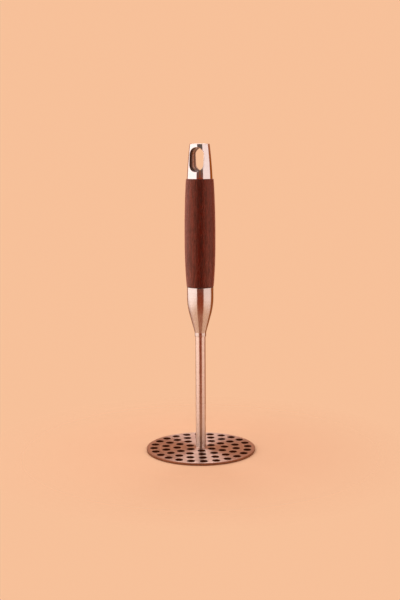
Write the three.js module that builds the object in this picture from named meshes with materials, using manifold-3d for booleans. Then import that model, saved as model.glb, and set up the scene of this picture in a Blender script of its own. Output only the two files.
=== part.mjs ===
// Hand masher: a perforated steel disc on a straight shaft, a flared bolster,
// a turned wooden grip and a steel end cap with a hanging eye.
// Millimetres, +Z up. The origin is the centre of the disc's underside, where
// the masher stands, and the hanging eye runs through along Y.

import * as THREE from 'three';
import { mergeVertices } from 'three/addons/utils/BufferGeometryUtils.js';
import Module from 'manifold-3d';

// Stack of lengths along the axis, from the disc's underside to the cap's top
const discThickness = 2;
const shaftLength = 97.1;
const bolsterLength = 42.3;
const sealThickness = 0.4;
const gripLength = 89.8;
const capLength = 28.9;

// Disc
const discRadius = 46.6;
const rimChamfer = 0.3;
const holeRadius = 3.25;
const footLandRadius = 7.2;
const rimLandWidth = 2.96;
const leastWebShare = 0.9;
const holesPerRingStep = 6;
const patternTurn = THREE.MathUtils.degToRad(-66.8);

// Shaft, with a foot spigot in the disc and an upper spigot in the bolster
const shaftRadius = 4.3;
const footSpigotRadius = 3;
const footRecess = 0.3;
const upperSpigotLength = 16;
const shaftTapDepth = 12;

// Weld bead round the shaft's foot
const weldLeg = 0.6;

// Bolster, a drawn shell: neck, concave throat, cone, convex shoulder, collar
const bolsterRadius = 11.3;
const bolsterWall = 1;
const neckStep = 0.6;
const neckLength = 3.2;
const neckChamfer = 0.25;
const collarLength = 8.2;
const taperCurveShare = 0.77;
const throatShare = 0.033;

// Seal ring between the bolster's rim and the wood
const sealInset = 0.25;

// Grip
const gripBellyRadius = 12.93;
const gripBellyShare = 0.45;
const gripSwellPower = 2.25;
const gripLowerStep = 0.1;
const gripUpperStep = 0.65;
const gripEdge = 0.55;
const tenonPlay = 0.6;
const boreClearance = 0.7;

// End cap with its boss, tapped hole and hanging eye
const capBaseRadius = 10.9;
const capTopRadius = 8.45;
const capBulge = 0.25;
const capTopEdge = 0.8;
const capBaseEdge = 0.35;
const bossRadius = 7;
const bossLength = 4;
const eyeWidth = 11.8;
const eyeFloor = 6;
const eyeCrown = 3.1;
const eyeLipRadius = 0.4;
const tapCover = 2;

// Tang and the washer under the boss
const tangRadius = 2.5;
const tangChamfer = 0.5;
const tangEndGap = 0.3;
const washerThickness = 0.8;

// Clearances, and how far cutting tools pass the faces they cut
const fitClearance = 0.1;
const tenonClearance = 0.15;
const weldClearance = 0.05;
const cutOverrun = 2;

// Steps round a full turn, and along curves
const turnSteps = 48;
const slimTurnSteps = 32;
const holeSteps = 16;
const shoulderSteps = 5;
const throatSteps = 4;
const swellSteps = 12;
const capSideSteps = 6;
const edgeSteps = 3;
const eyeEndSteps = 10;
const eyeSideSteps = 3;
const eyeLipSteps = 4;

// Heights of the joints between the pieces
const shaftTop = discThickness + shaftLength;
const bolsterTop = shaftTop + bolsterLength;
const gripBottom = bolsterTop + sealThickness;
const gripTop = gripBottom + gripLength;
const capTop = gripTop + capLength;
const bossBottom = gripTop - bossLength;

// Radii that follow from a neighbour
const neckRadius = shaftRadius + neckStep;
const upperSpigotRadius = neckRadius - bolsterWall - fitClearance;
const bolsterBoreRadius = bolsterRadius - bolsterWall;
const tenonRadius = bolsterBoreRadius - tenonClearance;
const tapRadius = tangRadius + fitClearance;
const gripBoreRadius = tangRadius + boreClearance;
const gripTopRadius = capBaseRadius + gripUpperStep;
const gripBottomRadius = bolsterRadius + gripLowerStep;
const counterboreRadius = bossRadius + tenonClearance;

// The tapped holes' blind ends, which the tang stops short of
const shaftTapFloor = shaftTop + upperSpigotLength - shaftTapDepth;
const capTapCeiling = gripTop + eyeFloor - tapCover;

const wasm = await Module();
wasm.setup();

const point = (x, y) => new THREE.Vector2(x, y);

// Points of an arc from one angle to another, both ends included
function arc(centreX, centreY, radius, from, to, steps) {
  return Array.from({ length: steps + 1 }, (_, i) => {
    const angle = THREE.MathUtils.lerp(from, to, i / steps);
    return point(centreX + radius * Math.cos(angle), centreY + radius * Math.sin(angle));
  });
}

// An outline of radius and height, turned about the Z axis
function turned(outline, steps) {
  return new THREE.LatheGeometry(outline, steps).rotateX(Math.PI / 2);
}

// A flat ring between two radii and two heights
function ring(innerRadius, outerRadius, bottom, top, steps) {
  return turned([
    point(innerRadius, bottom),
    point(outerRadius, bottom),
    point(outerRadius, top),
    point(innerRadius, top),
    point(innerRadius, bottom),
  ], steps);
}

// A geometry as a solid for boolean cuts, without the slivers at a lathe's axis
function toSolid(geometry) {
  const bare = geometry.clone();
  bare.deleteAttribute('normal');
  bare.deleteAttribute('uv');
  const merged = mergeVertices(bare);
  const corners = merged.index.array;
  const kept = [];
  for (let i = 0; i < corners.length; i += 3) {
    const [a, b, c] = corners.slice(i, i + 3);
    if (a !== b && b !== c && c !== a) kept.push(a, b, c);
  }
  return new wasm.Manifold(new wasm.Mesh({
    numProp: 3,
    vertProperties: Float32Array.from(merged.attributes.position.array),
    triVerts: Uint32Array.from(kept),
  }));
}

function toGeometry(solid) {
  const mesh = solid.getMesh();
  const geometry = new THREE.BufferGeometry();
  geometry.setAttribute('position', new THREE.BufferAttribute(mesh.vertProperties, 3));
  geometry.setIndex(new THREE.BufferAttribute(mesh.triVerts, 1));
  geometry.computeVertexNormals();
  return geometry;
}

// A stamped plate: rings of six, twelve, eighteen and more holes, all starting
// on one ray, and a bore for the shaft's foot
function makeDisc() {
  const plate = turned([
    point(0, 0),
    point(discRadius - rimChamfer, 0),
    point(discRadius, rimChamfer),
    point(discRadius, discThickness - rimChamfer),
    point(discRadius - rimChamfer, discThickness),
    point(0, discThickness),
  ], turnSteps * 2);
  const punch = (radius, x, y, steps) => {
    const height = discThickness + 2 * cutOverrun;
    const tool = new THREE.CylinderGeometry(radius, radius, height, steps);
    return toSolid(tool.rotateX(Math.PI / 2).translate(x, y, discThickness / 2));
  };
  const firstRing = footLandRadius + holeRadius;
  const span = discRadius - rimLandWidth - holeRadius - firstRing;
  const ringGaps = Math.max(1, Math.floor(span / (holeRadius * (2 + leastWebShare))));
  let solid = toSolid(plate).subtract(punch(footSpigotRadius + fitClearance, 0, 0, slimTurnSteps));
  for (let k = 0; k <= ringGaps; k += 1) {
    const ringRadius = firstRing + (span * k) / ringGaps;
    const count = holesPerRingStep * (k + 1);
    for (let i = 0; i < count; i += 1) {
      const angle = patternTurn + (2 * Math.PI * i) / count;
      const x = ringRadius * Math.cos(angle);
      const y = ringRadius * Math.sin(angle);
      solid = solid.subtract(punch(holeRadius, x, y, holeSteps));
    }
  }
  return toGeometry(solid);
}

// A round bar. The disc's top and the bolster's neck bear on its two shoulders,
// and its upper end is tapped for the tang.
function makeShaft() {
  return turned([
    point(0, footRecess),
    point(footSpigotRadius, footRecess),
    point(footSpigotRadius, discThickness),
    point(shaftRadius, discThickness),
    point(shaftRadius, shaftTop),
    point(upperSpigotRadius, shaftTop),
    point(upperSpigotRadius, shaftTop + upperSpigotLength),
    point(tapRadius, shaftTop + upperSpigotLength),
    point(tapRadius, shaftTapFloor),
    point(0, shaftTapFloor),
  ], slimTurnSteps);
}

// A hollow-faced bead between the disc's top and the shaft
function makeWeld() {
  const innerRadius = shaftRadius + weldClearance;
  const face = arc(
    innerRadius + weldLeg, discThickness + weldLeg, weldLeg, -Math.PI / 2, -Math.PI, throatSteps,
  );
  return turned([
    point(innerRadius, discThickness),
    ...face,
    point(innerRadius, discThickness),
  ], slimTurnSteps);
}

// The bolster's outside between neck and collar: a concave throat, a straight
// cone and a convex shoulder, each tangent to the next. The two radii together
// are a share of the largest pair that the taper has room for.
function taperOutline() {
  const length = bolsterLength - neckLength - collarLength;
  const rise = bolsterRadius - neckRadius;
  const radiusSum = (taperCurveShare * (length * length + rise * rise)) / (2 * rise);
  const throatRadius = radiusSum * throatShare;
  const shoulderRadius = radiusSum - throatRadius;
  const cone = Math.sqrt(length * length + rise * rise - 2 * radiusSum * rise);
  const slope = Math.atan2(length, radiusSum - rise) - Math.atan2(cone, radiusSum);
  const bottom = shaftTop + neckLength;
  const top = bottom + length;
  return [
    ...arc(neckRadius + throatRadius, bottom, throatRadius, Math.PI, Math.PI - slope, throatSteps),
    ...arc(bolsterRadius - shoulderRadius, top, shoulderRadius, -slope, 0, shoulderSteps),
  ];
}

// A shell of even wall: the inside follows the outside, and its open rim takes
// the grip's tenon
function makeBolster() {
  const outside = taperOutline();
  const inside = outside.map((p) => point(p.x - bolsterWall, p.y)).reverse();
  return turned([
    point(neckRadius - bolsterWall, shaftTop),
    point(neckRadius - neckChamfer, shaftTop),
    point(neckRadius, shaftTop + neckChamfer),
    ...outside,
    point(bolsterRadius, bolsterTop),
    point(bolsterBoreRadius, bolsterTop),
    ...inside,
    point(neckRadius - bolsterWall, shaftTop),
  ], turnSteps);
}

// The grip's radius at a height: a belly that falls away to both ends
function gripRadiusAt(height) {
  const bellyHeight = gripBottom + gripLength * gripBellyShare;
  const above = height > bellyHeight;
  const reach = above ? gripTop - bellyHeight : bellyHeight - gripBottom;
  const endRadius = above ? gripTopRadius : gripBottomRadius;
  const share = Math.abs(height - bellyHeight) / reach;
  return gripBellyRadius - (gripBellyRadius - endRadius) * share ** gripSwellPower;
}

// Turned wood: a tenon for the bolster, a through bore for the tang and a
// counterbore for the cap's boss
function makeGrip() {
  const tenonBottom = bolsterTop - collarLength + tenonPlay;
  const counterboreFloor = bossBottom - washerThickness;
  const lowEnd = gripBottom + gripEdge;
  const highEnd = gripTop - gripEdge;
  const side = Array.from({ length: swellSteps - 1 }, (_, i) => {
    const height = THREE.MathUtils.lerp(lowEnd, highEnd, (i + 1) / swellSteps);
    return point(gripRadiusAt(height), height);
  });
  const lowCentre = gripRadiusAt(lowEnd) - gripEdge;
  const highCentre = gripRadiusAt(highEnd) - gripEdge;
  return turned([
    point(gripBoreRadius, tenonBottom),
    point(tenonRadius, tenonBottom),
    point(tenonRadius, gripBottom),
    ...arc(lowCentre, lowEnd, gripEdge, -Math.PI / 2, 0, edgeSteps),
    ...side,
    ...arc(highCentre, highEnd, gripEdge, 0, Math.PI / 2, edgeSteps),
    point(counterboreRadius, gripTop),
    point(counterboreRadius, counterboreFloor),
    point(gripBoreRadius, counterboreFloor),
    point(gripBoreRadius, tenonBottom),
  ], turnSteps);
}

// The cap's radius at a height: a cone with a slight bulge
function capRadiusAt(height) {
  const share = (height - gripTop) / capLength;
  const straight = THREE.MathUtils.lerp(capBaseRadius, capTopRadius, share);
  return straight + capBulge * 4 * share * (1 - share);
}

function capSlopeAt(height) {
  const share = (height - gripTop) / capLength;
  return (capTopRadius - capBaseRadius + capBulge * 4 * (1 - 2 * share)) / capLength;
}

// The outline of the hanging eye, seen along Y: two half circles joined by
// straight sides. Each entry has its place and its direction away from the eye.
function eyeOutline() {
  const radius = eyeWidth / 2;
  const lowCentre = gripTop + eyeFloor + radius;
  const highCentre = capTop - eyeCrown - radius;
  const entries = [];
  const addEnd = (centre, from) => {
    for (let i = 0; i <= eyeEndSteps; i += 1) {
      const angle = from + (Math.PI * i) / eyeEndSteps;
      const away = point(Math.cos(angle), Math.sin(angle));
      entries.push({ x: radius * away.x, z: centre + radius * away.y, away });
    }
  };
  const addSide = (side, from, to) => {
    for (let i = 1; i < eyeSideSteps; i += 1) {
      const z = THREE.MathUtils.lerp(from, to, i / eyeSideSteps);
      entries.push({ x: side * radius, z, away: point(side, 0) });
    }
  };
  addEnd(highCentre, 0);
  addSide(-1, highCentre, lowCentre);
  addEnd(lowCentre, Math.PI);
  addSide(1, lowCentre, highCentre);
  return entries;
}

// The tool that cuts the eye: its wall flares at each mouth into a rounded lip
// that is tangent to the eye's wall and to the cap's side. Each entry of the
// outline gives one row of points from the -Y mouth to the +Y mouth.
function makeEyeCutter() {
  const outline = eyeOutline();
  const reach = capBaseRadius + cutOverrun;
  const rows = outline.map(({ x, z, away }) => {
    const radius = capRadiusAt(z);
    const surface = Math.sqrt(radius * radius - x * x);
    const fall = (-away.x * x + away.y * radius * capSlopeAt(z)) / surface;
    const lean = Math.sqrt(1 + fall * fall);
    const lipCentre = surface + eyeLipRadius * (fall - lean);
    const lip = arc(eyeLipRadius, lipCentre, eyeLipRadius, Math.PI, Math.atan2(1, -fall), eyeLipSteps);
    const half = [...lip, point(lip[lip.length - 1].x, reach)];
    const place = (p, side) => [x + away.x * p.x, side * p.y, z + away.y * p.x];
    return [
      ...half.map((p) => place(p, -1)).reverse(),
      ...half.map((p) => place(p, 1)),
    ];
  });
  const rowLength = rows[0].length;
  const middle = (gripTop + eyeFloor + capTop - eyeCrown) / 2;
  const positions = rows.flat(2);
  const nearCentre = rows.length * rowLength;
  positions.push(0, -reach, middle, 0, reach, middle);
  const index = [];
  rows.forEach((_, i) => {
    const here = i * rowLength;
    const next = ((i + 1) % rows.length) * rowLength;
    for (let j = 0; j < rowLength - 1; j += 1) {
      index.push(here + j, here + j + 1, next + j + 1, here + j, next + j + 1, next + j);
    }
    index.push(nearCentre, here, next);
    index.push(nearCentre + 1, next + rowLength - 1, here + rowLength - 1);
  });
  const geometry = new THREE.BufferGeometry();
  geometry.setAttribute('position', new THREE.Float32BufferAttribute(positions, 3));
  geometry.setIndex(index);
  return geometry;
}

// A solid cap, with a boss that sinks into the grip and is tapped for the tang
function makeCap() {
  const baseEnd = gripTop + capBaseEdge;
  const topEnd = capTop - capTopEdge;
  const side = Array.from({ length: capSideSteps - 1 }, (_, i) => {
    const height = THREE.MathUtils.lerp(baseEnd, topEnd, (i + 1) / capSideSteps);
    return point(capRadiusAt(height), height);
  });
  const body = turned([
    point(0, capTapCeiling),
    point(tapRadius, capTapCeiling),
    point(tapRadius, bossBottom),
    point(bossRadius, bossBottom),
    point(bossRadius, gripTop),
    ...arc(capRadiusAt(baseEnd) - capBaseEdge, baseEnd, capBaseEdge, -Math.PI / 2, 0, edgeSteps),
    ...side,
    ...arc(capRadiusAt(topEnd) - capTopEdge, topEnd, capTopEdge, 0, Math.PI / 2, edgeSteps),
    point(0, capTop),
  ], turnSteps);
  return toGeometry(toSolid(body).subtract(toSolid(makeEyeCutter())));
}

// A threaded rod, drawn at its outer diameter
function makeTang() {
  const bottom = shaftTapFloor + tangEndGap;
  const top = capTapCeiling - tangEndGap;
  return turned([
    point(0, bottom),
    point(tangRadius - tangChamfer, bottom),
    point(tangRadius, bottom + tangChamfer),
    point(tangRadius, top - tangChamfer),
    point(tangRadius - tangChamfer, top),
    point(0, top),
  ], slimTurnSteps);
}

const makeSeal = () => ring(
  bolsterBoreRadius, bolsterRadius - sealInset, bolsterTop, gripBottom, turnSteps,
);

const makeWasher = () => ring(
  tapRadius, bossRadius, bossBottom - washerThickness, bossBottom, slimTurnSteps,
);

const satinSteel = { color: 0xc9c3bd, roughness: 0.32, metalness: 1 };
const polishedSteel = { color: 0xd6d2ce, roughness: 0.12, metalness: 1 };
const darkWood = { color: 0x4a2018, roughness: 0.5, metalness: 0 };
const darkRubber = { color: 0x241a17, roughness: 0.8, metalness: 0 };

const masher = new THREE.Group();

function addPiece(name, geometry, finish) {
  const piece = new THREE.Mesh(geometry, new THREE.MeshStandardMaterial(finish));
  piece.name = name;
  masher.add(piece);
}

addPiece('masher_disc', makeDisc(), satinSteel);
addPiece('shaft', makeShaft(), satinSteel);
addPiece('foot_weld', makeWeld(), satinSteel);
addPiece('bolster', makeBolster(), satinSteel);
addPiece('lower_seal', makeSeal(), darkRubber);
addPiece('wood_grip', makeGrip(), darkWood);
addPiece('tang', makeTang(), satinSteel);
addPiece('upper_washer', makeWasher(), satinSteel);
addPiece('end_cap', makeCap(), polishedSteel);

export default masher;
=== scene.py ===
"""A hand masher, dressed: perforated disc, shaft, bolster, wooden grip and end cap.

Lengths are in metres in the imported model's frame: +Z up along the shaft, the
origin under the disc's centre and the hanging eye running through along Y.
"""
from math import atan2, cos, hypot, pi, radians, sin, sqrt

import bmesh
import bpy
from mathutils import Matrix, Vector


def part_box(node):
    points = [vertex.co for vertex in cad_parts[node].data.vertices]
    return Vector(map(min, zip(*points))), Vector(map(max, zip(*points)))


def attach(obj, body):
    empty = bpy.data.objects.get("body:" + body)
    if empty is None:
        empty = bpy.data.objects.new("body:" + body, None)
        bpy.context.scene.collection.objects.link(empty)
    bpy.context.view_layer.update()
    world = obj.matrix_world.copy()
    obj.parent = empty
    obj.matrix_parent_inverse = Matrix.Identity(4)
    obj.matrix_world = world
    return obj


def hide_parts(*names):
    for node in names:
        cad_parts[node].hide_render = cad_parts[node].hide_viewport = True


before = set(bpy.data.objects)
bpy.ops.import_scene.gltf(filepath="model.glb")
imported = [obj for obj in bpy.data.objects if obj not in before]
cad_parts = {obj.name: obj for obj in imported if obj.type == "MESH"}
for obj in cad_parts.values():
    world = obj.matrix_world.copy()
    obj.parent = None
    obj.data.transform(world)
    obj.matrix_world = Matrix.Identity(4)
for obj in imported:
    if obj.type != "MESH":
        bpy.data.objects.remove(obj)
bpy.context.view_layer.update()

MM = 0.001

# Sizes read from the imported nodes
DISC_RADIUS, _, DISC_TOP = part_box("masher_disc")[1]
SHAFT_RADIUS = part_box("shaft")[1].x
SHAFT_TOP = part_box("bolster")[0].z
SPIGOT_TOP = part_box("shaft")[1].z
FOOT_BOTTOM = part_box("shaft")[0].z
WELD_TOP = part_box("foot_weld")[1].z
BOLSTER_RADIUS, _, BOLSTER_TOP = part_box("bolster")[1]
SEAL_RADIUS, _, GRIP_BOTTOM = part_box("lower_seal")[1]
TENON_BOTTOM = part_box("wood_grip")[0].z
GRIP_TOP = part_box("wood_grip")[1].z
BOSS_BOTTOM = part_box("end_cap")[0].z
CAP_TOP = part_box("end_cap")[1].z
COUNTERBORE_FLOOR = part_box("upper_washer")[0].z
TANG_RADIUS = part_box("tang")[1].x
TANG_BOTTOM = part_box("tang")[0].z

# Disc
HOLE_RADIUS = 3.25 * MM
FOOT_LAND_RADIUS = 7.2 * MM
RIM_LAND_WIDTH = 2.96 * MM
HOLE_RINGS = 4
HOLES_PER_RING_STEP = 6
PATTERN_TURN = radians(-66.8)
FOOT_SPIGOT_RADIUS = 3 * MM
RIM_ROUND = 0.3 * MM
HOLE_ROUND = 0.18 * MM

# Bolster
BOLSTER_WALL = 1 * MM
NECK_RADIUS = SHAFT_RADIUS + 0.6 * MM
NECK_LENGTH = 3.2 * MM
NECK_ROUND = 0.3 * MM
COLLAR_LENGTH = 8.2 * MM
COLLAR_ROUND = 0.15 * MM
TAPER_CURVE_SHARE = 0.77
THROAT_SHARE = 0.033

# Grip
BELLY_RADIUS = 12.93 * MM
BELLY_SHARE = 0.45
SWELL_POWER = 2.25
GRIP_TOP_RADIUS = 11.55 * MM
GRIP_BOTTOM_RADIUS = BOLSTER_RADIUS + 0.1 * MM
GRIP_EDGE = 0.55 * MM

# End cap
CAP_LENGTH = CAP_TOP - GRIP_TOP
CAP_BASE_RADIUS = 10.9 * MM
CAP_TOP_RADIUS = 8.45 * MM
CAP_BULGE = 0.25 * MM
CAP_TOP_EDGE = 0.8 * MM
CAP_BASE_EDGE = 0.35 * MM
BOSS_RADIUS = 7 * MM
TAP_COVER = 2 * MM
EYE_WIDTH = 11.8 * MM
EYE_RADIUS = EYE_WIDTH / 2
EYE_BOTTOM = GRIP_TOP + 6 * MM
EYE_TOP = CAP_TOP - 3.1 * MM
EYE_LOW_BEND = EYE_BOTTOM + EYE_RADIUS
EYE_HIGH_BEND = EYE_TOP - EYE_RADIUS
EYE_LIP_RADIUS = 0.4 * MM

# Clearances
FIT = 0.1 * MM
LOOSE_FIT = 0.15 * MM
WELD_GAP = 0.05 * MM
TANG_END_GAP = 0.3 * MM
BORE_CLEARANCE = 0.7 * MM
CUT_OVERRUN = 2 * MM

# Steps round a turn
TURN_STEPS = 160
HOLE_STEPS = 36
FLOOR_STEPS = 96

# Steps along curves
EDGE_STEPS = 3
WELD_STEPS = 8
NECK_STEPS = 4
THROAT_STEPS = 12
SHOULDER_STEPS = 28
SEAL_STEPS = 6
GRIP_EDGE_STEPS = 6
GRIP_STEPS = 80
CAP_BASE_STEPS = 5
CAP_STEPS = 60
CAP_TOP_STEPS = 8
CROWN_STEPS = 12
EYE_BEND_STEPS = 40
EYE_SIDE_STEPS = 12
LIP_STEPS = 10

SHARP_ANGLE = radians(32)


# Shared shapes

def lerp(start, end, share):
    return start + (end - start) * share


def between(start, end, steps):
    """Evenly spaced values from start to end, both ends left out."""
    return [lerp(start, end, i / steps) for i in range(1, steps)]


def arc(centre, height, radius, start, end, steps):
    """Points of radius and height along an arc, both ends included."""
    angles = [lerp(start, end, i / steps) for i in range(steps + 1)]
    return [(centre + radius * cos(a), height + radius * sin(a)) for a in angles]


def circle(radius, steps):
    """Points of X and Y round the origin."""
    angles = [2 * pi * i / steps for i in range(steps)]
    return [(radius * cos(a), radius * sin(a)) for a in angles]


def round_pairs(ring):
    """Each item of a closed ring with the next one."""
    return zip(ring, ring[1:] + ring[:1])


def new_object(name, bm):
    """An object of the scene from a bmesh, its faces pointing out."""
    bmesh.ops.recalc_face_normals(bm, faces=bm.faces)
    mesh = bpy.data.meshes.new(name)
    bm.to_mesh(mesh)
    bm.free()
    made = bpy.data.objects.new(name, mesh)
    bpy.context.scene.collection.objects.link(made)
    return made


def smooth(mesh):
    """Shades a mesh smooth but for its sharp edges."""
    mesh.shade_smooth()
    mesh.set_sharp_from_angle(angle=SHARP_ANGLE)


def turned(name, outline):
    """Turns an outline of radius and height about the Z axis.

    The outline starts and ends on the axis, or else closes on itself.
    """
    bm = bmesh.new()
    rings = []
    for radius, height in outline:
        points = circle(radius, TURN_STEPS if radius else 1)
        rings.append([bm.verts.new((x, y, height)) for x, y in points])
    starts_on_axis = len(rings[0]) == 1
    pairs = zip(rings, rings[1:]) if starts_on_axis else round_pairs(rings)
    for low, high in pairs:
        for i in range(TURN_STEPS):
            corners = []
            for ring, k in ((low, i), (low, i + 1), (high, i + 1), (high, i)):
                vertex = ring[k % len(ring)]
                if vertex not in corners:
                    corners.append(vertex)
            bm.faces.new(corners)
    piece = new_object(name, bm)
    smooth(piece.data)
    return piece


# Disc

# The rim's and the holes' faces get darker copies of the disc's steel, as painted shade
RIM_FACES, HOLE_FACES = 1, 2


def rounded_wall(bm, centre, radius, side, edge_round, steps, slot):
    """The wall of a round rim (side 1) or hole (side -1), with rounded edges.

    Returns its lowest and its highest ring of vertices, which lie in the
    disc's two flat faces.
    """
    low = arc(-edge_round, edge_round, edge_round, -pi / 2, 0, EDGE_STEPS)
    high = arc(-edge_round, DISC_TOP - edge_round, edge_round, 0, pi / 2, EDGE_STEPS)
    rings = []
    for outward, height in low + high:
        points = circle(radius + side * outward, steps)
        rings.append([bm.verts.new((centre[0] + x, centre[1] + y, height)) for x, y in points])
    for lower, upper in zip(rings, rings[1:]):
        for (a, b), (d, c) in zip(round_pairs(lower), round_pairs(upper)):
            face = bm.faces.new((a, b, c, d))
            face.smooth = True
            face.material_index = slot
    return rings[0], rings[-1]


def hole_places():
    """Centres of the disc's holes, in rings that all start on one ray."""
    first = FOOT_LAND_RADIUS + HOLE_RADIUS
    last = DISC_RADIUS - RIM_LAND_WIDTH - HOLE_RADIUS
    for k in range(HOLE_RINGS):
        ring_radius = lerp(first, last, k / (HOLE_RINGS - 1))
        count = HOLES_PER_RING_STEP * (k + 1)
        for i in range(count):
            angle = PATTERN_TURN + 2 * pi * i / count
            yield ring_radius * cos(angle), ring_radius * sin(angle)


def make_disc():
    """Walls for the rim, the bore and each hole, and two flat faces between them."""
    bm = bmesh.new()
    middle = (0, 0)
    hole = (-1, HOLE_ROUND, HOLE_STEPS, HOLE_FACES)
    walls = [
        rounded_wall(bm, middle, DISC_RADIUS, 1, RIM_ROUND, TURN_STEPS, RIM_FACES),
        rounded_wall(bm, middle, FOOT_SPIGOT_RADIUS + FIT, *hole),
        *[rounded_wall(bm, place, HOLE_RADIUS, *hole) for place in hole_places()],
    ]
    for rings in zip(*walls):
        edges = [bm.edges.get(pair) for ring in rings for pair in round_pairs(ring)]
        bmesh.ops.triangle_fill(bm, edges=edges, use_beauty=True)
    return new_object("disc", bm)


# Shaft, weld, bolster and seal

def make_shaft():
    upper_spigot_radius = NECK_RADIUS - BOLSTER_WALL - FIT
    tap_radius = TANG_RADIUS + FIT
    tap_floor = TANG_BOTTOM - TANG_END_GAP
    return turned("shaft_bar", [
        (0, FOOT_BOTTOM),
        (FOOT_SPIGOT_RADIUS, FOOT_BOTTOM),
        (FOOT_SPIGOT_RADIUS, DISC_TOP),
        (SHAFT_RADIUS, DISC_TOP),
        (SHAFT_RADIUS, SHAFT_TOP),
        (upper_spigot_radius, SHAFT_TOP),
        (upper_spigot_radius, SPIGOT_TOP),
        (tap_radius, SPIGOT_TOP),
        (tap_radius, tap_floor),
        (0, tap_floor),
    ])


def make_weld():
    inner = SHAFT_RADIUS + WELD_GAP
    leg = WELD_TOP - DISC_TOP
    face = arc(inner + leg, DISC_TOP + leg, leg, -pi / 2, -pi, WELD_STEPS)
    return turned("weld_bead", [(inner, DISC_TOP), *face])


def taper_outline():
    """Throat, cone and shoulder of the bolster, each tangent to the next.

    The cone is the straight line between the two arcs that touches them both.
    """
    length = BOLSTER_TOP - SHAFT_TOP - NECK_LENGTH - COLLAR_LENGTH
    rise = BOLSTER_RADIUS - NECK_RADIUS
    radius_sum = TAPER_CURVE_SHARE * (length ** 2 + rise ** 2) / (2 * rise)
    throat = radius_sum * THROAT_SHARE
    shoulder = radius_sum - throat
    cone = sqrt(length ** 2 + rise ** 2 - 2 * radius_sum * rise)
    slope = atan2(length, radius_sum - rise) - atan2(cone, radius_sum)
    bottom = SHAFT_TOP + NECK_LENGTH
    top = bottom + length
    return [
        *arc(NECK_RADIUS + throat, bottom, throat, pi, pi - slope, THROAT_STEPS),
        *arc(BOLSTER_RADIUS - shoulder, top, shoulder, -slope, 0, SHOULDER_STEPS),
    ]


def make_bolster():
    outside = taper_outline()
    inside = [(radius - BOLSTER_WALL, height) for radius, height in reversed(outside)]
    neck_centre, neck_height = NECK_RADIUS - NECK_ROUND, SHAFT_TOP + NECK_ROUND
    collar_centre, collar_height = BOLSTER_RADIUS - COLLAR_ROUND, BOLSTER_TOP - COLLAR_ROUND
    return turned("bolster_shell", [
        (NECK_RADIUS - BOLSTER_WALL, SHAFT_TOP),
        *arc(neck_centre, neck_height, NECK_ROUND, -pi / 2, 0, NECK_STEPS),
        *outside,
        *arc(collar_centre, collar_height, COLLAR_ROUND, 0, pi / 2, EDGE_STEPS),
        (BOLSTER_RADIUS - BOLSTER_WALL, BOLSTER_TOP),
        *inside,
    ])


def make_seal():
    inner = BOLSTER_RADIUS - BOLSTER_WALL
    half = (GRIP_BOTTOM - BOLSTER_TOP) / 2
    lip = arc(SEAL_RADIUS - half, BOLSTER_TOP + half, half, -pi / 2, pi / 2, SEAL_STEPS)
    return turned("seal_ring", [(inner, BOLSTER_TOP), *lip, (inner, GRIP_BOTTOM)])


# Grip

def grip_radius_at(height):
    """The barrel's radius, largest at the belly and smaller towards both ends."""
    belly_height = lerp(GRIP_BOTTOM, GRIP_TOP, BELLY_SHARE)
    above = height > belly_height
    reach = GRIP_TOP - belly_height if above else belly_height - GRIP_BOTTOM
    end_radius = GRIP_TOP_RADIUS if above else GRIP_BOTTOM_RADIUS
    share = abs(height - belly_height) / reach
    return BELLY_RADIUS - (BELLY_RADIUS - end_radius) * share ** SWELL_POWER


def make_grip():
    bore = TANG_RADIUS + BORE_CLEARANCE
    tenon = BOLSTER_RADIUS - BOLSTER_WALL - LOOSE_FIT
    counterbore = BOSS_RADIUS + LOOSE_FIT
    low_end, high_end = GRIP_BOTTOM + GRIP_EDGE, GRIP_TOP - GRIP_EDGE
    low_centre = grip_radius_at(low_end) - GRIP_EDGE
    high_centre = grip_radius_at(high_end) - GRIP_EDGE
    return turned("grip", [
        (bore, TENON_BOTTOM),
        (tenon, TENON_BOTTOM),
        (tenon, GRIP_BOTTOM),
        *arc(low_centre, low_end, GRIP_EDGE, -pi / 2, 0, GRIP_EDGE_STEPS),
        *[(grip_radius_at(height), height) for height in between(low_end, high_end, GRIP_STEPS)],
        *arc(high_centre, high_end, GRIP_EDGE, 0, pi / 2, GRIP_EDGE_STEPS),
        (counterbore, GRIP_TOP),
        (counterbore, COUNTERBORE_FLOOR),
        (bore, COUNTERBORE_FLOOR),
    ])


# End cap

EYE_FACES = 1


def cap_radius_at(height):
    """The cap's radius: a taper with a slight bulge, largest halfway up."""
    share = (height - GRIP_TOP) / CAP_LENGTH
    return lerp(CAP_BASE_RADIUS, CAP_TOP_RADIUS, share) + CAP_BULGE * 4 * share * (1 - share)


def cap_slope_at(height):
    """How fast the cap's radius changes with height."""
    share = (height - GRIP_TOP) / CAP_LENGTH
    return (CAP_TOP_RADIUS - CAP_BASE_RADIUS + CAP_BULGE * 4 * (1 - 2 * share)) / CAP_LENGTH


def eye_outline():
    """The eye's outline seen along Y: place and direction away from the eye."""
    entries = []
    for centre, start, side, other in (
        (EYE_HIGH_BEND, 0, -1, EYE_LOW_BEND), (EYE_LOW_BEND, pi, 1, EYE_HIGH_BEND),
    ):
        for i in range(EYE_BEND_STEPS + 1):
            angle = start + pi * i / EYE_BEND_STEPS
            away_x, away_z = cos(angle), sin(angle)
            entries.append((EYE_RADIUS * away_x, centre + EYE_RADIUS * away_z, away_x, away_z))
        for height in between(centre, other, EYE_SIDE_STEPS):
            entries.append((side * EYE_RADIUS, height, side, 0))
    return entries


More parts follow.
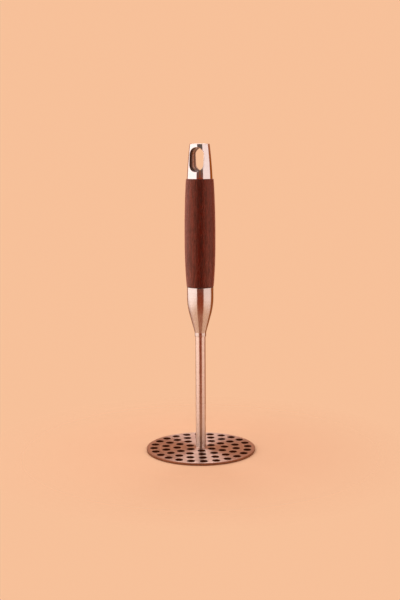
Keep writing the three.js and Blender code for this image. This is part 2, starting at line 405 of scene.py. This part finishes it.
def eye_cutter():
    """The shape cut away for the eye, with lips tangent to its wall and to the cap.

    Each row of its skin runs from behind the cap to in front of it, as offsets
    away from the eye and places along Y.
    """
    reach = CAP_BASE_RADIUS + CUT_OVERRUN
    bm = bmesh.new()
    rows = []
    for x, z, away_x, away_z in eye_outline():
        radius = cap_radius_at(z)
        surface = sqrt(radius ** 2 - x ** 2)
        fall = (away_z * radius * cap_slope_at(z) - away_x * x) / surface
        lip_centre = surface + EYE_LIP_RADIUS * (fall - hypot(1, fall))
        lip = arc(EYE_LIP_RADIUS, lip_centre, EYE_LIP_RADIUS, pi, atan2(1, -fall), LIP_STEPS)
        half = [*lip, (lip[-1][0], reach)]
        row = [(offset, -y) for offset, y in reversed(half)] + half
        rows.append([
            bm.verts.new((x + away_x * offset, y, z + away_z * offset)) for offset, y in row
        ])
    for row, after in round_pairs(rows):
        for a, b, c, d in zip(row, row[1:], after[1:], after):
            bm.faces.new((a, b, c, d))
    for end in (0, -1):
        bm.faces.new([row[end] for row in rows])
    return new_object("eye_cutter", bm)


def mark_eye(mesh):
    """Gives the eye's wall and the inner half of its lips their own material."""
    for face in mesh.polygons:
        x, y, z = face.center
        beside_eye = EYE_BOTTOM - EYE_LIP_RADIUS < z < CAP_TOP - CAP_TOP_EDGE
        if beside_eye and hypot(x, y) < cap_radius_at(z) - EYE_LIP_RADIUS / 4:
            face.material_index = EYE_FACES


def cut_eye(cap):
    """Cuts the eye through the turned cap."""
    cutter = eye_cutter()
    cut = cap.modifiers.new("eye", "BOOLEAN")
    cut.object = cutter
    cut.operation = "DIFFERENCE"
    cut.solver = "EXACT"
    evaluated = cap.evaluated_get(bpy.context.evaluated_depsgraph_get())
    cooked = bpy.data.meshes.new_from_object(evaluated)
    cap.modifiers.clear()
    cap.data = cooked
    bpy.data.objects.remove(cutter)
    smooth(cooked)
    mark_eye(cooked)


def make_cap():
    tap = TANG_RADIUS + FIT
    tap_ceiling = EYE_BOTTOM - TAP_COVER
    base_end, top_end = GRIP_TOP + CAP_BASE_EDGE, CAP_TOP - CAP_TOP_EDGE
    base_centre = cap_radius_at(base_end) - CAP_BASE_EDGE
    crown_radius = cap_radius_at(top_end) - CAP_TOP_EDGE
    cap = turned("cap", [
        (0, tap_ceiling),
        (tap, tap_ceiling),
        (tap, BOSS_BOTTOM),
        (BOSS_RADIUS, BOSS_BOTTOM),
        (BOSS_RADIUS, GRIP_TOP),
        *arc(base_centre, base_end, CAP_BASE_EDGE, -pi / 2, 0, CAP_BASE_STEPS),
        *[(cap_radius_at(height), height) for height in between(base_end, top_end, CAP_STEPS)],
        *arc(crown_radius, top_end, CAP_TOP_EDGE, 0, pi / 2, CAP_TOP_STEPS),
        *[(radius, CAP_TOP) for radius in between(crown_radius, 0, CROWN_STEPS)],
        (0, CAP_TOP),
    ])
    cut_eye(cap)
    return cap


# Materials

class Tree:
    """Adds nodes to a node tree and feeds their inputs."""

    def __init__(self, node_tree):
        self.node_tree = node_tree

    def feed(self, node, inputs):
        """Links each input that is given a socket, and sets the others."""
        for name, value in dict(inputs).items():
            if isinstance(value, bpy.types.NodeSocket):
                self.node_tree.links.new(value, node.inputs[name])
            else:
                node.inputs[name].default_value = value

    def add(self, kind, inputs=(), **settings):
        node = self.node_tree.nodes.new(kind)
        for key, value in settings.items():
            setattr(node, key, value)
        self.feed(node, inputs)
        return node

    def noise(self, vector, scale, detail=3.0, roughness=0.55):
        """Soft noise. The scale says about how many spots it has to a metre."""
        node = self.add("ShaderNodeTexNoise", {
            "Vector": vector, "Scale": scale, "Detail": detail, "Roughness": roughness,
        })
        return node.outputs["Fac"]

    def vector(self, operation, a, b=(0.0, 0.0, 0.0), output="Vector"):
        node = self.add("ShaderNodeVectorMath", {0: a, 1: b}, operation=operation)
        return node.outputs[output]

    def stretched(self, vector, scale):
        return self.vector("MULTIPLY", vector, scale)

    def drawn_out(self, vector, share):
        """Coordinates that draw a pattern out along Z to 1 / share of its length."""
        return self.stretched(vector, (1.0, 1.0, share))

    def flattened(self, vector):
        return self.stretched(vector, (1.0, 1.0, 0.0))

    def length(self, vector):
        return self.vector("LENGTH", vector, output="Value")

    def math(self, operation, a, b=0.0):
        return self.add("ShaderNodeMath", {0: a, 1: b}, operation=operation).outputs[0]

    def product(self, a, b):
        return self.math("MULTIPLY", a, b)

    def blend(self, *patterns):
        """The sum of patterns, each times its share."""
        total = 0.0
        for pattern, share in patterns:
            total = self.math("ADD", total, self.product(pattern, share))
        return total

    def spread(self, value, low, high, start=0.3, end=0.7):
        """Low where the value is at start, high where it is at end."""
        node = self.add("ShaderNodeMapRange", {
            "Value": value, "From Min": start, "From Max": end, "To Min": low, "To Max": high,
        })
        return node.outputs[0]

    def mix(self, share, a, b):
        """A mix of two colours, from a at share 0 to b at share 1.

        The node has its colours at inputs 6 and 7, and the mix of them at output 2.
        """
        return self.add("ShaderNodeMix", {0: share, 6: a, 7: b}, data_type="RGBA").outputs[2]

    def bump(self, height, strength, distance, under=None):
        """Relief from a height pattern, on top of another relief if there is one."""
        inputs = {"Height": height, "Strength": strength, "Distance": distance}
        if under is not None:
            inputs["Normal"] = under
        return self.add("ShaderNodeBump", inputs).outputs[0]


def new_material(name):
    material = bpy.data.materials.new(name)
    material.use_nodes = True
    tree = Tree(material.node_tree)
    shader = material.node_tree.nodes["Principled BSDF"]
    position = tree.add("ShaderNodeTexCoord").outputs["Object"]
    return material, tree, shader, position


# How a bar's brushing stretches the pattern of its scratches along X, Y and Z
AROUND_AXIS = (0.04, 0.04, 1.0)
CUT_WALL = (1.0, 1.0, 0.3)

# Once round the disc is a loop of this radius in the pattern of its scratches
SCRATCH_LOOP = 0.6 * MM

# Turns the wide side of the gloss across the scratches
QUARTER_TURN = 0.25


def circle_brushing(tree, position):
    """Coordinates that change with the radius, and very little round the axis."""
    flat = tree.flattened(position)
    heading = tree.vector("NORMALIZE", flat)
    around = tree.stretched(heading, (SCRATCH_LOOP, SCRATCH_LOOP, 0.0))
    apart = tree.add("ShaderNodeCombineXYZ", {"Z": tree.length(flat)}).outputs[0]
    return tree.vector("ADD", around, apart)


def steel(name, bright, dark, roughness, roughness_range, anisotropy, brushing, scratch_depth):
    """Stainless steel with fine scratches in one direction, and faint clouds.

    The brushing is how the scratches are stretched, or None for circles on a
    flat piece. Scratches round the axis spread the gloss across them: along
    the axis on a bar, and along the radius on the flat disc.
    """
    material, tree, shader, position = new_material(name)
    if brushing is None:
        scratch_vector = circle_brushing(tree, position)
    else:
        scratch_vector = tree.stretched(position, brushing)
    coarse = tree.noise(scratch_vector, scale=900, detail=2.0)
    fine = tree.noise(scratch_vector, scale=5000, roughness=0.7)
    cloud = tree.noise(position, scale=60, detail=4.0)
    tone = tree.blend((coarse, 0.6), (cloud, 0.4))
    wear_and_painted_light = tree.blend((fine, 0.5), (cloud, 0.5))
    tree.feed(shader, {
        "Base Color": tree.mix(tree.spread(tone, 0.0, 1.0), dark, bright),
        "Roughness": tree.spread(wear_and_painted_light, roughness - roughness_range, roughness + roughness_range),
        "Metallic": 1.0,
        "Anisotropic": anisotropy,
        "Anisotropic Rotation": QUARTER_TURN,
        "Tangent": tree.add("ShaderNodeTangent", direction_type="RADIAL", axis="Z").outputs[0],
        "Normal": tree.bump(fine, strength=0.35, distance=scratch_depth),
    })
    return material


# Painted shade and painted light for the eye's wall
EYE_SHADE = (0.06, 0.045, 0.045, 1)
EYE_SHINE = (1.0, 0.95, 0.95, 1)

# Where the painted light on the eye's wall starts or ends, in widths of the eye from its middle
FRONT_BAND_START = (-0.30, -0.02)
FRONT_BAND_END = (0.12, 0.28)
BACK_BAND_START = (0.32, 0.55)
LIGHT_SIDE_START = (0.0, 0.1)
FRONT_LIP_END = (-0.76, -0.64)

# The heights over which the painted light grows out of the painted shade in the lower bend, and
# dims in the upper one
LOW_BEND_FADE = (EYE_LOW_BEND - 5 * MM, EYE_LOW_BEND - 1.5 * MM)
HIGH_BEND_FADE = (EYE_HIGH_BEND, EYE_HIGH_BEND + 4 * MM)


def eye_wall(name):
    """Milled steel with streaks along Z, with painted shade at its front mouth and in its lower
    bend.

    From front to back the wall has a band of painted light, one of painted shade and
    another of painted light. Its +X side has painted light all the way from behind the front
    lip.
    """
    material, tree, shader, position = new_material(name)
    streaks = tree.noise(tree.drawn_out(position, 0.05), scale=900, roughness=0.6)
    place = tree.add("ShaderNodeSeparateXYZ", {0: position})
    side, depth, height = place.outputs["X"], place.outputs["Y"], place.outputs["Z"]

    def over_widths(value, low, high, places):
        """Low at the first of two places and high at the second, in widths of the eye."""
        start, end = places
        return tree.spread(value, low, high, EYE_WIDTH * start, EYE_WIDTH * end)

    # Bands of painted light along the wall, with painted shade in front of and between them
    front_painted_light = tree.product(
        over_widths(depth, 0.0, 1.0, FRONT_BAND_START),
        over_widths(depth, 1.0, 0.3, FRONT_BAND_END),
    )
    back_painted_light = over_widths(depth, 0.0, 1.0, BACK_BAND_START)
    painted_light_bands = tree.math("MAXIMUM", front_painted_light, back_painted_light)
    # Painted shade in the lower bend, and a little in the upper one
    straight = tree.product(
        tree.spread(height, 0.15, 1.0, *LOW_BEND_FADE),
        tree.spread(height, 1.0, 0.6, *HIGH_BEND_FADE),
    )
    # The milling streaks show through the painted light
    wear_and_painted_light = tree.product(tree.spread(streaks, 0.5, 1.0, 0.4, 0.6), tree.product(painted_light_bands, straight))
    # Painted light on the wall's +X side
    light_side = tree.product(
        over_widths(side, 0.0, 1.0, LIGHT_SIDE_START),
        over_widths(depth, 0.0, 1.0, FRONT_LIP_END),
    )
    light = tree.math("MAXIMUM", wear_and_painted_light, light_side)
    tree.feed(shader, {
        "Base Color": tree.mix(light, EYE_SHADE, EYE_SHINE),
        "Roughness": tree.spread(streaks, 0.45, 0.6),
        "Metallic": 0.9,
        "Normal": tree.bump(streaks, strength=0.4, distance=0.04 * MM),
    })
    return material


# The grip was turned from wood beside the trunk's heart, so its layers curve gently
HEART_OFFSET = (50 * MM, 30 * MM, 0.0)
LAYER_WARP = 6 * MM

DARK_WOOD = (0.001, 0.0001, 0.0, 1)
LIGHT_WOOD = (0.072, 0.007, 0.0016, 1)
PORE_WOOD = (0.008, 0.001, 0.0005, 1)

# The tones that count as fully dark and fully light wood
WOOD_TONES = (0.46, 0.55)

# The noise at a pore's edge and inside it
PORE_EDGE = (0.6, 0.68)


def growth_layers(tree, position):
    """Layers round the trunk's heart, warped a little and drawn out along Z."""
    warp = tree.noise(tree.drawn_out(position, 0.3), scale=25, detail=2.0)
    from_heart = tree.length(tree.flattened(tree.vector("ADD", position, HEART_OFFSET)))
    warped = tree.math("ADD", from_heart, tree.product(warp, LAYER_WARP))
    height = tree.add("ShaderNodeSeparateXYZ", {0: position}).outputs["Z"]
    place = tree.add("ShaderNodeCombineXYZ", {"X": warped, "Z": height}).outputs[0]
    return tree.noise(tree.drawn_out(place, 0.04), scale=520, detail=2.0, roughness=0.6)


def wood(name):
    """Dark red-brown hardwood: layers, streaks, flecks, fibres and open pores along Z."""
    material, tree, shader, position = new_material(name)
    layers = growth_layers(tree, position)
    streaks = tree.noise(tree.drawn_out(position, 0.1), scale=620, roughness=0.6)
    flecks = tree.noise(tree.drawn_out(position, 0.16), scale=1300, detail=2.0, roughness=0.6)
    fibres = tree.noise(tree.drawn_out(position, 0.02), scale=2600, detail=4.0, roughness=0.65)
    pores = tree.noise(tree.drawn_out(position, 0.08), scale=2400, detail=1.0)
    pore_share = tree.spread(pores, 0.0, 1.0, *PORE_EDGE)
    between_pores = tree.math("SUBTRACT", 1.0, pore_share)
    tone = tree.blend((layers, 0.25), (streaks, 0.25), (flecks, 0.35), (fibres, 0.15))
    brown = tree.mix(tree.spread(tone, 0.0, 1.0, *WOOD_TONES), DARK_WOOD, LIGHT_WOOD)
    relief = tree.bump(streaks, strength=0.8, distance=0.3 * MM)
    relief = tree.bump(flecks, strength=0.6, distance=0.3 * MM, under=relief)
    relief = tree.bump(fibres, strength=0.3, distance=0.06 * MM, under=relief)
    relief = tree.bump(between_pores, strength=0.5, distance=0.08 * MM, under=relief)
    tree.feed(shader, {
        "Base Color": tree.mix(pore_share, brown, PORE_WOOD),
        "Roughness": tree.spread(tone, 0.48, 0.22, *WOOD_TONES),
        "IOR": 1.8,
        "Specular IOR Level": 0.5,
        "Specular Tint": (1.0, 0.32, 0.22, 1),
        "Sheen Weight": 1.0,
        "Sheen Roughness": 0.42,
        "Sheen Tint": (1.0, 0.52, 0.44, 1),
        "Normal": relief,
    })
    return material


DARK_RUBBER = (0.012, 0.009, 0.008, 1)
LIGHT_RUBBER = (0.03, 0.022, 0.018, 1)


def rubber(name):
    """Matt black rubber with a fine grain."""
    material, tree, shader, position = new_material(name)
    grain = tree.noise(position, scale=3000)
    tree.feed(shader, {
        "Base Color": tree.mix(grain, DARK_RUBBER, LIGHT_RUBBER),
        "Roughness": tree.spread(grain, 0.7, 0.9),
        "Normal": tree.bump(grain, strength=0.4, distance=0.03 * MM),
    })
    return material


def finish_piece(piece, materials, slot, *nodes):
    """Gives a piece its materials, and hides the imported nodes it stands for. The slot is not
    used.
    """
    for material in materials:
        piece.data.materials.append(material)
    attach(piece, "root")
    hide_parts(*nodes)


def dress():
    """Builds every visible piece with its materials, and gives the hidden ones steel."""
    disc_steel = steel(
        "disc_steel", bright=(0.72, 0.575, 0.51, 1), dark=(0.38, 0.25, 0.205, 1),
        roughness=0.34, roughness_range=0.05, anisotropy=0.9,
        brushing=None, scratch_depth=0.02 * MM,
    )
    # The rim's steel is a darker, orange-brown copy of the disc's: painted shade and painted
    # reflection of the floor
    rim_steel_painted_shade = steel(
        "rim_steel_painted_shade", bright=(0.34, 0.165, 0.095, 1), dark=(0.19, 0.08, 0.045, 1),
        roughness=0.40, roughness_range=0.06, anisotropy=0.0,
        brushing=CUT_WALL, scratch_depth=0.04 * MM,
    )
    # The holes' steel is a nearly black copy of the disc's: painted shade inside the holes
    hole_steel_painted_shade = steel(
        "hole_steel_painted_shade", bright=(0.10, 0.035, 0.018, 1), dark=(0.05, 0.016, 0.008, 1),
        roughness=0.50, roughness_range=0.08, anisotropy=0.0,
        brushing=CUT_WALL, scratch_depth=0.04 * MM,
    )
    shaft_steel = steel(
        "shaft_steel", bright=(0.73, 0.64, 0.585, 1), dark=(0.61, 0.525, 0.47, 1),
        roughness=0.25, roughness_range=0.04, anisotropy=1.0,
        brushing=AROUND_AXIS, scratch_depth=0.006 * MM,
    )
    bolster_steel = steel(
        "bolster_steel", bright=(0.66, 0.645, 0.635, 1), dark=(0.58, 0.565, 0.555, 1),
        roughness=0.24, roughness_range=0.02, anisotropy=1.0,
        brushing=AROUND_AXIS, scratch_depth=0.002 * MM,
    )
    cap_steel = steel(
        "cap_steel", bright=(0.77, 0.78, 0.80, 1), dark=(0.71, 0.71, 0.72, 1),
        roughness=0.11, roughness_range=0.03, anisotropy=0.4,
        brushing=AROUND_AXIS, scratch_depth=0.003 * MM,
    )
    hidden_steel = steel(
        "bar_steel", bright=(0.6, 0.57, 0.55, 1), dark=(0.5, 0.47, 0.45, 1),
        roughness=0.35, roughness_range=0.05, anisotropy=0.3,
        brushing=AROUND_AXIS, scratch_depth=0.01 * MM,
    )
    finish_piece(make_disc(), [disc_steel, rim_steel_painted_shade, hole_steel_painted_shade], "disc_steel", "masher_disc")
    finish_piece(make_shaft(), [shaft_steel], "shaft_steel", "shaft")
    finish_piece(make_weld(), [disc_steel], "disc_steel", "foot_weld")
    finish_piece(make_bolster(), [bolster_steel], "bolster_steel", "bolster")
    finish_piece(make_seal(), [rubber("seal_rubber")], "seal_rubber", "lower_seal")
    finish_piece(make_grip(), [wood("grip_wood")], "grip_wood", "wood_grip")
    finish_piece(make_cap(), [cap_steel, eye_wall("eye_steel")], "cap_steel", "end_cap")
    for node in ("tang", "upper_washer"):
        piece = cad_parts[node]
        piece.data.materials.clear()
        piece.data.materials.append(hidden_steel)


# Camera and studio

CAMERA_AZIMUTH = radians(20)
CAMERA_DISTANCE = 0.860
CAMERA_HEIGHT = 0.2585
CAMERA_PITCH = radians(8.49)
CAMERA_ROLL = radians(-0.25)
CAMERA_SIDE = -0.25 * MM
FOCAL_PIXELS = 1031
IMAGE_LONG_SIDE = 600
SENSOR_MM = 36

PANEL_DISTANCE = 0.62
PANEL_HEIGHT = 0.5
PANEL_TALL = 1.2

FLOOR_RADIUS = 0.19
FLOOR_FADE_START = 0.075

# Where areas of the room end, in degrees from straight behind or in front of the masher
BACKDROP_EDGE = (24, 32)
UPPER_WALL_EDGE = (40, 75)
GAP_EDGE = (60, 75)
FRONT_EDGE = (25, 32)
STRIP_EDGE = (4, 8)

# Where one area gives way to the next, in degrees above the horizon
UPPER_WALL_FOOT = (3, 10)
SIDE_LOW_TOP = (-17.5, -2.9)
FRONT_LOW_TOP = (2.3, 5.7)
STRIP_TOP = (6, 11)

# Colours of what the steel mirrors, and of the floor
BACKDROP = (0.93, 0.53, 0.32, 1)
FLOOR_PAPER = (0.91, 0.68, 0.46, 1)
FRONT_LOW = (0.38, 0.032, 0.0, 1)
FRONT_HIGH = (0.15, 0.108, 0.09, 1)
FRONT_STRIP = (0.30, 0.10, 0.035, 1)
SIDE_LOW = (0.95, 0.45, 0.24, 1)
SIDE_HIGH = (0.40, 0.085, 0.008, 1)
UPPER_WALL = (0.63, 0.28, 0.17, 1)

TURN = Matrix.Rotation(CAMERA_AZIMUTH, 4, "Z")


def studio_point(sideways, depth, height):
    """A place given from the camera's side: to its right, away from it, and up."""
    return TURN @ Vector((sideways, depth, height))


def make_camera():
    forward = studio_point(0, cos(CAMERA_PITCH), -sin(CAMERA_PITCH))
    right = studio_point(1, 0, 0)
    down = forward.cross(right)
    across = cos(CAMERA_ROLL) * right - sin(CAMERA_ROLL) * down
    up = -(sin(CAMERA_ROLL) * right + cos(CAMERA_ROLL) * down)
    data = bpy.data.cameras.new("camera")
    data.sensor_width = SENSOR_MM
    data.lens = FOCAL_PIXELS * SENSOR_MM / IMAGE_LONG_SIDE
    camera = bpy.data.objects.new("camera", data)
    bpy.context.scene.collection.objects.link(camera)
    axes = Matrix((across, up, -forward)).transposed().to_4x4()
    place = studio_point(CAMERA_SIDE, -CAMERA_DISTANCE, CAMERA_HEIGHT)
    camera.matrix_world = Matrix.Translation(place) @ axes
    bpy.context.scene.camera = camera


def panel(name, place, target, width, tall, radiance, colour=(1.0, 1.0, 1.0)):
    """A soft rectangle of light that faces a target and isn't seen by the camera."""
    data = bpy.data.lights.new(name, "AREA")
    data.shape = "RECTANGLE"
    data.size, data.size_y = width, tall
    data.energy = radiance * pi * width * tall
    data.color = colour
    light = bpy.data.objects.new(name, data)
    bpy.context.scene.collection.objects.link(light)
    light.location = place
    light.rotation_euler = (target - place).to_track_quat("-Z", "Y").to_euler()
    light.visible_camera = False


def side_panel(name, angle, width, radiance, colour):
    """An upright panel that faces the masher, angle degrees from the camera's side."""
    turn = radians(angle)
    place = studio_point(PANEL_DISTANCE * sin(turn), -PANEL_DISTANCE * cos(turn), PANEL_HEIGHT)
    target = Vector((0, 0, PANEL_HEIGHT))
    panel(name, place, target, width, PANEL_TALL, radiance, colour)


def make_lights():
    foot = Vector((0, 0, 0))
    above_and_behind = studio_point(0, 0.62, 0.95)
    straight_above = studio_point(0, 0, 1.2)
    side_panel("left_panel", angle=-81, width=1.59, radiance=1.25, colour=(1.0, 0.97, 0.94))
    side_panel("right_panel", angle=67, width=0.95, radiance=0.88, colour=(0.95, 0.95, 0.93))
    panel("top_panel", above_and_behind, foot, width=0.55, tall=0.6, radiance=2.95)
    panel("zenith_panel", straight_above, foot, width=0.8, tall=0.8, radiance=0.2)


def make_world():
    """The backdrop's colour behind the masher, and a dim room round it.

    The masher mirrors the room. The camera sees the backdrop's colour
    wherever it looks.
    """
    world = bpy.data.worlds.new("studio")
    bpy.context.scene.world = world
    world.use_nodes = True
    tree = Tree(world.node_tree)
    direction = tree.add("ShaderNodeTexCoord").outputs["Generated"]
    heading = tree.vector("NORMALIZE", tree.flattened(direction))
    behind = tree.vector("DOT_PRODUCT", heading, studio_point(0, 1, 0), output="Value")
    in_front = tree.product(behind, -1.0)
    upward = tree.add("ShaderNodeSeparateXYZ", {0: direction}).outputs["Z"]

    def near(cosine, inner, outer):
        """1 up to inner degrees from straight behind or in front, 0 past outer degrees."""
        return tree.spread(cosine, 1.0, 0.0, cos(radians(inner)), cos(radians(outer)))

    def above(low, high):
        """0 below low degrees over the horizon, 1 above high degrees."""
        return tree.spread(upward, 0.0, 1.0, sin(radians(low)), sin(radians(high)))

    strip = tree.mix(above(*STRIP_TOP), FRONT_STRIP, FRONT_HIGH)
    front_high = tree.mix(near(in_front, *STRIP_EDGE), FRONT_HIGH, strip)
    front = tree.mix(above(*FRONT_LOW_TOP), FRONT_LOW, front_high)
    side_low = tree.mix(near(behind, *GAP_EDGE), SIDE_LOW, SIDE_HIGH)
    side = tree.mix(above(*SIDE_LOW_TOP), side_low, SIDE_HIGH)
    room = tree.mix(near(in_front, *FRONT_EDGE), side, front)
    room = tree.mix(near(behind, *BACKDROP_EDGE), room, BACKDROP)
    upper_wall = tree.product(near(behind, *UPPER_WALL_EDGE), above(*UPPER_WALL_FOOT))
    room = tree.mix(upper_wall, room, UPPER_WALL)
    to_camera = tree.add("ShaderNodeLightPath").outputs["Is Camera Ray"]
    background = world.node_tree.nodes["Background"]
    tree.feed(background, {"Color": tree.mix(to_camera, room, BACKDROP)})


def make_floor():
    """A round of pale paper under the masher that fades out into the backdrop."""
    bm = bmesh.new()
    centre = bm.verts.new((0, 0, 0))
    rim = [bm.verts.new((x, y, 0)) for x, y in circle(FLOOR_RADIUS, FLOOR_STEPS)]
    for a, b in round_pairs(rim):
        bm.faces.new((centre, a, b))
    floor = new_object("floor", bm)
    material, tree, shader, position = new_material("floor_paper")
    tree.feed(shader, {"Base Color": FLOOR_PAPER, "Roughness": 0.9, "Specular IOR Level": 0.1})
    fade = tree.spread(tree.length(position), 0.0, 1.0, FLOOR_FADE_START, FLOOR_RADIUS)
    clear = tree.add("ShaderNodeBsdfTransparent").outputs[0]
    blend = tree.add("ShaderNodeMixShader", {0: fade, 1: shader.outputs[0], 2: clear})
    tree.feed(material.node_tree.nodes["Material Output"], {"Surface": blend.outputs[0]})
    floor.data.materials.append(material)


dress()
make_camera()
make_lights()
make_world()
make_floor()
bpy.context.scene.view_settings.view_transform = "Standard"
